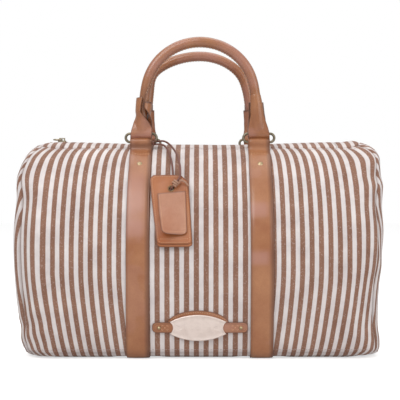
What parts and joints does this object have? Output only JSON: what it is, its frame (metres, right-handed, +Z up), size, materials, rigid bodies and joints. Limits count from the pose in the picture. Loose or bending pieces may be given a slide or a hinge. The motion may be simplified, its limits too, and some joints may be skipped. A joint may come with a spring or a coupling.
{
  "type": "weekender bag",
  "caption": "Soft barrel-shaped weekender bag in striped canvas with leather straps, rolled handles on metal rings, a top zip, a blank name plate and a luggage tag.",
  "frame": {"origin": "centre of the underside, on the surface the bag stands on", "axes": "+X to the right along the bag, +Y to the back, +Z up; the name plate faces -Y"},
  "size_m": [0.51, 0.2574, 0.4322],
  "materials": {
    "striped_canvas": "matte",
    "lining_cloth": "matte",
    "stiff_board": "matte",
    "tan_leather": "satin",
    "handle_rope": "matte",
    "ring_metal": "satin",
    "plate_metal": "satin",
    "rivet_metal": "satin",
    "zip_cloth": "matte",
    "zip_metal": "satin",
    "card_paper": "matte"
  },
  "bodies": {
    "bag": {"main_panel_front": "striped_canvas", "main_panel_back": "striped_canvas", "base_panel": "striped_canvas", "end_panel_left": "striped_canvas", "end_panel_right": "striped_canvas", "zip_end_left": "striped_canvas", "zip_end_right": "striped_canvas", "lining": "lining_cloth", "base_board": "stiff_board", "zip_stops": "zip_metal", "strap_left": "tan_leather", "strap_right": "tan_leather", "strap_rivets": "rivet_metal", "plate_backing": "tan_leather", "plate_belt": "tan_leather", "name_plate": "plate_metal", "plate_rivets": "rivet_metal"},
    "front_rings": {"front_ring_left": "ring_metal", "front_ring_right": "ring_metal"},
    "back_rings": {"back_ring_left": "ring_metal", "back_ring_right": "ring_metal"},
    "front_handle": {"front_handle_cover": "tan_leather", "front_handle_core": "handle_rope", "front_chape_left": "tan_leather", "front_chape_right": "tan_leather"},
    "back_handle": {"back_handle_cover": "tan_leather", "back_handle_core": "handle_rope", "back_chape_left": "tan_leather", "back_chape_right": "tan_leather"},
    "mouth_front": {"gusset_front": "striped_canvas", "zip_tape_front": "zip_cloth", "zip_teeth_front": "zip_metal"},
    "mouth_back": {"gusset_back": "striped_canvas", "zip_tape_back": "zip_cloth", "zip_teeth_back": "zip_metal"},
    "slider": {"zip_slider": "zip_metal"},
    "pull": {"zip_pull": "zip_metal"},
    "lace": {"tag_lace": "tan_leather", "lace_hitch": "tan_leather", "lace_knot": "tan_leather"},
    "tag": {"tag_back": "tan_leather", "tag_frame": "tan_leather", "tag_card": "card_paper", "tag_eyelet": "rivet_metal"},
    "flap": {"tag_flap": "tan_leather"}
  },
  "joints": [
    {"name": "front_rings_tilt", "type": "hinge", "parent": "bag", "child": "front_rings", "pos_m": [0, -0.053, 0.2885], "axis": [1, 0, 0], "range_deg": [-4, 75]},
    {"name": "front_handle_swing", "type": "hinge", "parent": "front_rings", "child": "front_handle", "pos_m": [0, -0.053, 0.3], "axis": [1, 0, 0], "range_deg": [-14, 60]},
    {"name": "back_rings_tilt", "type": "hinge", "parent": "bag", "child": "back_rings", "pos_m": [0, 0.053, 0.2885], "axis": [-1, 0, 0], "range_deg": [-4, 75]},
    {"name": "back_handle_swing", "type": "hinge", "parent": "back_rings", "child": "back_handle", "pos_m": [0, 0.053, 0.3], "axis": [-1, 0, 0], "range_deg": [-14, 60]},
    {"name": "mouth_front_open", "type": "hinge", "parent": "bag", "child": "mouth_front", "pos_m": [0, -0.046, 0.2814], "axis": [1, 0, 0], "range_deg": [0, 60]},
    {"name": "mouth_back_open", "type": "hinge", "parent": "bag", "child": "mouth_back", "pos_m": [0, 0.046, 0.2814], "axis": [-1, 0, 0], "range_deg": [0, 60]},
    {"name": "zip_slide", "type": "slide", "parent": "bag", "child": "slider", "axis": [1, 0, 0], "range_m": [0, 0.398]},
    {"name": "zip_pull_flip", "type": "hinge", "parent": "slider", "child": "pull", "pos_m": [-0.199, 0, 0.2956], "axis": [0, 1, 0], "range_deg": [0, 150]},
    {"name": "tag_lace_swing", "type": "hinge", "parent": "bag", "child": "lace", "pos_m": [-0.0643, -0.053, 0.2885], "axis": [1, 0, 0], "range_deg": [-70, 0]},
    {"name": "tag_turn", "type": "hinge", "parent": "lace", "child": "tag", "pos_m": [-0.0377, -0.1102, 0.223], "axis": [0, -0.9703, 0.2419], "range_deg": [-8, 20]},
    {"name": "tag_flap_lift", "type": "hinge", "parent": "tag", "child": "flap", "pos_m": [-0.03722, -0.11461, 0.21897], "axis": [0.9954, 0.0232, 0.093], "range_deg": [-90, 0]}
  ]
}
